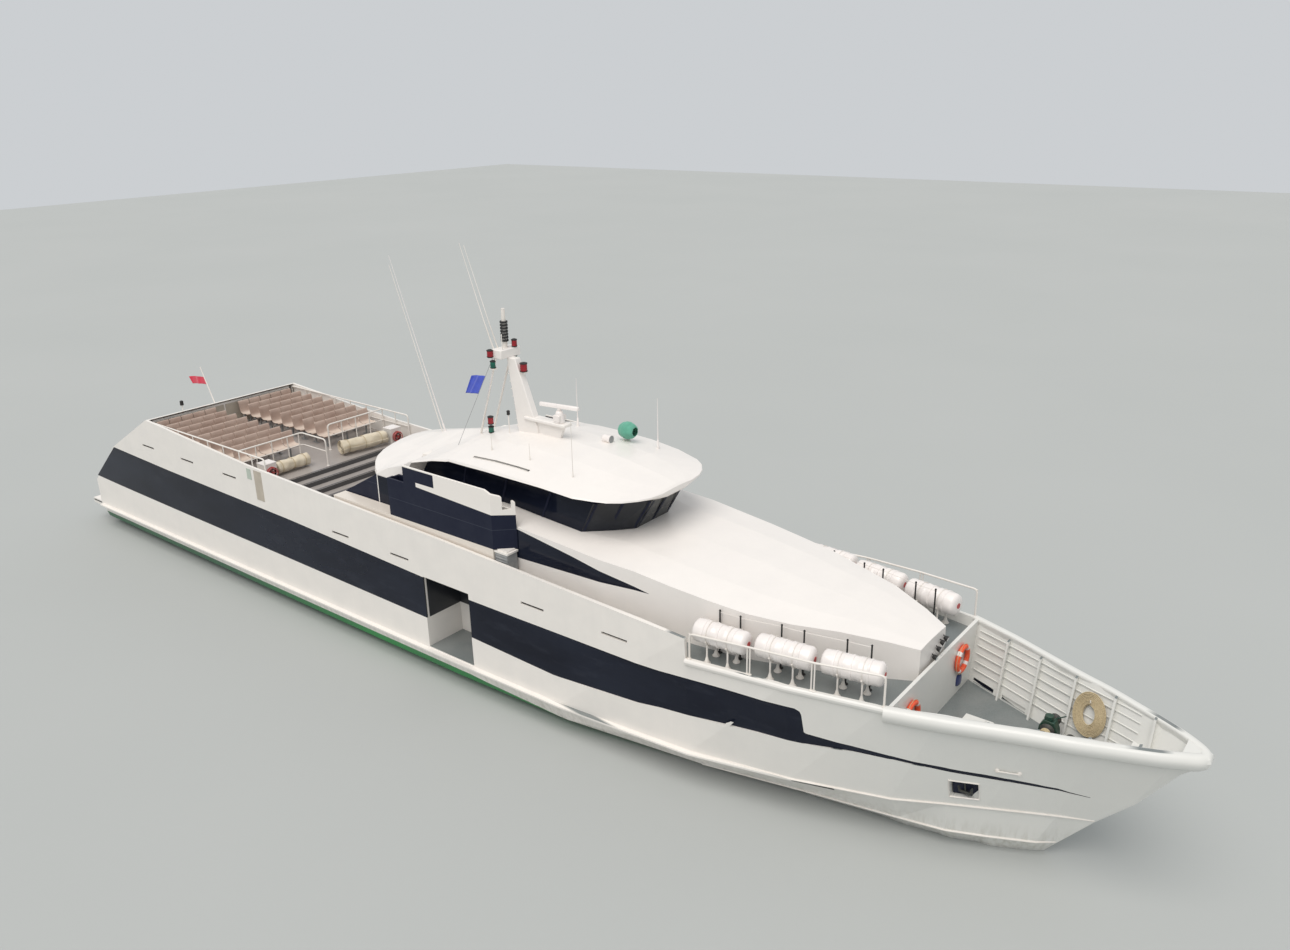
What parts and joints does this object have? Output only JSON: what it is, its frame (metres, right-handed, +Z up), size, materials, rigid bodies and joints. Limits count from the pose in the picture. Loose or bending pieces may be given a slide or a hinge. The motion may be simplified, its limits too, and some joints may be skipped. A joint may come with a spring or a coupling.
{
  "type": "passenger ferry",
  "caption": "Slender passenger ferry with a long dark-windowed cabin, raised wheelhouse with wings, open aft seat deck, life rafts along the side decks and a high bow.",
  "frame": {"origin": "on the centreline, amidships, at the waterline", "axes": "+X runs forward to the bow, +Y to port and +Z up"},
  "size_m": [39.6152, 6.36, 13.6573],
  "materials": {
    "white_paint": "glossy white paint",
    "antifouling": "matt green bottom paint",
    "dark_glazing": "glossy dark tinted glass",
    "dark_paint": "glossy dark blue paint",
    "bridge_trim": "matt grey trim",
    "white_plastic": "glossy white",
    "white_rail": "white painted tube",
    "red_cloth": "plain red woven cloth",
    "blue_cloth": "plain blue woven cloth",
    "bench_plastic": "beige and brown-grey moulded seats",
    "canvas": "rolled beige canvas",
    "green_cover": "green cover",
    "green_gear": "dark green paint",
    "dark_steel": "dark painted steel",
    "orange_ring": "orange moulded ring",
    "rope": "tan laid rope",
    "shaft_steel": "brushed stainless steel",
    "propeller_bronze": "cast bronze"
  },
  "bodies": {
    "boat": {"hull_topsides": "white_paint", "deckhouse": "white_paint", "wheelhouse_roof": "white_paint", "mast": "white_paint", "horn": "white_paint", "life_rafts_starboard": "white_paint", "life_rafts_port": "white_paint", "side_trunk_starboard": "white_paint", "side_trunk_port": "white_paint", "deck_locker_starboard": "white_paint", "deck_locker_port": "white_paint", "hull_bottom": "antifouling", "window_band_aft_starboard": "dark_glazing", "window_band_aft_port": "dark_glazing", "window_band_forward_starboard": "dark_glazing", "window_band_forward_port": "dark_glazing", "house_window_starboard": "dark_glazing", "house_window_port": "dark_glazing", "wheelhouse_glass": "dark_glazing", "wheelhouse": "dark_paint", "bridge_wing_starboard": "dark_paint", "bridge_wing_port": "dark_paint", "entry_screen_starboard": "dark_paint", "entry_screen_port": "dark_paint", "bridge_interior": "bridge_trim", "radar_pedestal": "white_plastic", "aerial_aft": "white_plastic", "aerial_bridge": "white_plastic", "aerial_forward": "white_plastic", "stern_flagpole": "white_rail", "seat_deck_rail_starboard": "white_rail", "seat_deck_rail_port": "white_rail", "side_rail_starboard": "white_rail", "side_rail_port": "white_rail", "stern_flag": "red_cloth", "house_flag": "blue_cloth", "benches_starboard": "bench_plastic", "benches_port": "bench_plastic", "canvas_roll_starboard": "canvas", "canvas_roll_port": "canvas", "searchlight": "green_cover", "windlass": "green_gear", "bollards_starboard": "dark_steel", "bollards_port": "dark_steel", "life_ring_starboard": "orange_ring", "life_ring_port": "orange_ring", "rope_coil": "rope", "shaft_starboard": "shaft_steel", "shaft_port": "shaft_steel"},
    "stern_door": {"stern_door": "white_paint"},
    "house_door": {"house_door": "white_paint"},
    "foredeck_hatch": {"foredeck_hatch": "white_paint"},
    "radar_scanner": {"radar_scanner": "white_plastic"},
    "boarding_door_starboard": {"boarding_door_starboard": "white_paint"},
    "propeller_starboard": {"propeller_starboard": "propeller_bronze"},
    "rudder_starboard": {"rudder_starboard": "antifouling"},
    "boarding_door_port": {"boarding_door_port": "white_paint"},
    "propeller_port": {"propeller_port": "propeller_bronze"},
    "rudder_port": {"rudder_port": "antifouling"}
  },
  "joints": [
    {"name": "stern_door_hinge", "type": "hinge", "parent": "boat", "child": "stern_door", "pos_m": [-17.7156, -0.405, 1.92], "axis": [0, 0, 1], "range_deg": [0, 95]},
    {"name": "house_door_hinge", "type": "hinge", "parent": "boat", "child": "house_door", "pos_m": [-1.9556, -1.505, 4.42], "axis": [0, 0, 1], "range_deg": [0, 100]},
    {"name": "foredeck_hatch_hinge", "type": "hinge", "parent": "boat", "child": "foredeck_hatch", "pos_m": [14.8846, 0, 2.4593], "axis": [0, -1, 0], "range_deg": [0, 100]},
    {"name": "radar_spin", "type": "hinge", "parent": "boat", "child": "radar_scanner", "pos_m": [3.12, 0, 7.72], "axis": [0, 0, 1], "continuous": true},
    {"name": "boarding_door_starboard_hinge", "type": "hinge", "parent": "boat", "child": "boarding_door_starboard", "pos_m": [1.855, -1.7956, 1.96], "axis": [0, 0, 1], "range_deg": [0, 100]},
    {"name": "propeller_starboard_spin", "type": "hinge", "parent": "boat", "child": "propeller_starboard", "pos_m": [-17.28178, -1.1, -1.16335], "axis": [0.9911, 0, 0.1333], "continuous": true},
    {"name": "rudder_starboard_steer", "type": "hinge", "parent": "boat", "child": "rudder_starboard", "pos_m": [-18.25, -1.1, -1], "axis": [0, 0, 1], "range_deg": [-35, 35]},
    {"name": "boarding_door_port_hinge", "type": "hinge", "parent": "boat", "child": "boarding_door_port", "pos_m": [1.855, 1.7956, 1.96], "axis": [0, 0, -1], "range_deg": [0, 100]},
    {"name": "propeller_port_spin", "type": "hinge", "parent": "boat", "child": "propeller_port", "pos_m": [-17.28178, 1.1, -1.16335], "axis": [0.9911, 0, 0.1333], "continuous": true},
    {"name": "rudder_port_steer", "type": "hinge", "parent": "boat", "child": "rudder_port", "pos_m": [-18.25, 1.1, -1], "axis": [0, 0, 1], "range_deg": [-35, 35]}
  ]
}
